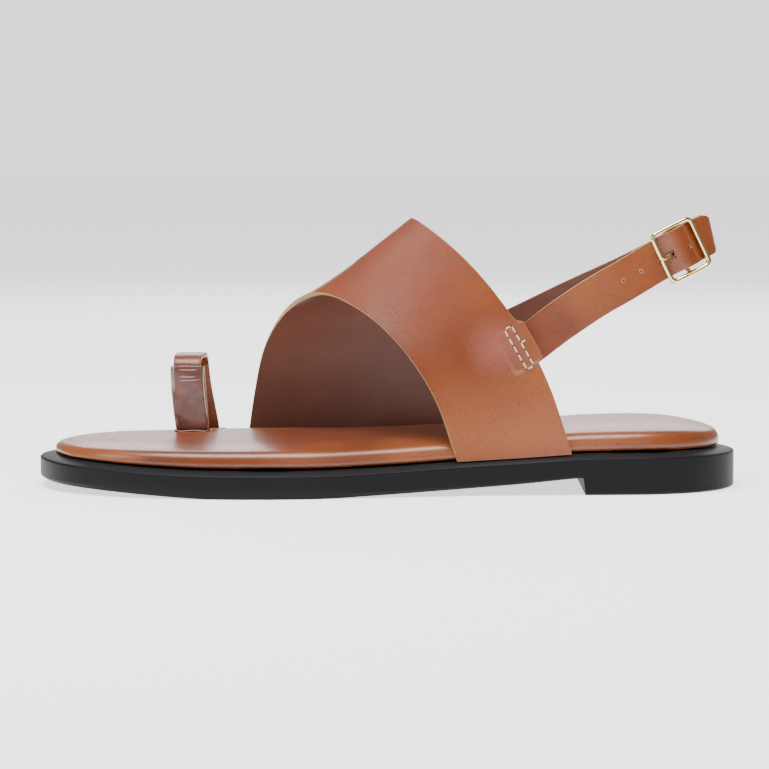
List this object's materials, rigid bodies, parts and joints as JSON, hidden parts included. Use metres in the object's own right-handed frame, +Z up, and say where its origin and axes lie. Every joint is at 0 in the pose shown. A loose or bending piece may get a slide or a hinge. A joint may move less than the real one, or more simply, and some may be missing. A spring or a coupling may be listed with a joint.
{
  "type": "toe loop sandal",
  "caption": "Flat leather toe loop sandal with a wide instep band, slingback strap with gold buckle and black rubber sole.",
  "frame": {"origin": "centre of the overall bounding box at floor level", "axes": "+X from toe to heel, -Y towards the lateral side, +Z up"},
  "size_m": [0.2566, 0.093, 0.0996],
  "materials": {
    "outsole_rubber": "matte",
    "footbed_leather": "semi-gloss",
    "band_leather": "semi-gloss",
    "loop_leather": "semi-gloss",
    "wrap_leather": "gloss",
    "strap_leather": "semi-gloss",
    "buckle_metal": "polished"
  },
  "bodies": {
    "root": {"outsole": "outsole_rubber", "footbed": "footbed_leather", "instep_strap": "band_leather", "toe_loop": "loop_leather", "toe_loop_wrap": "wrap_leather", "ankle_strap": "strap_leather", "heel_strap": "strap_leather", "buckle_frame": "buckle_metal", "buckle_prong": "buckle_metal"}
  },
  "joints": []
}
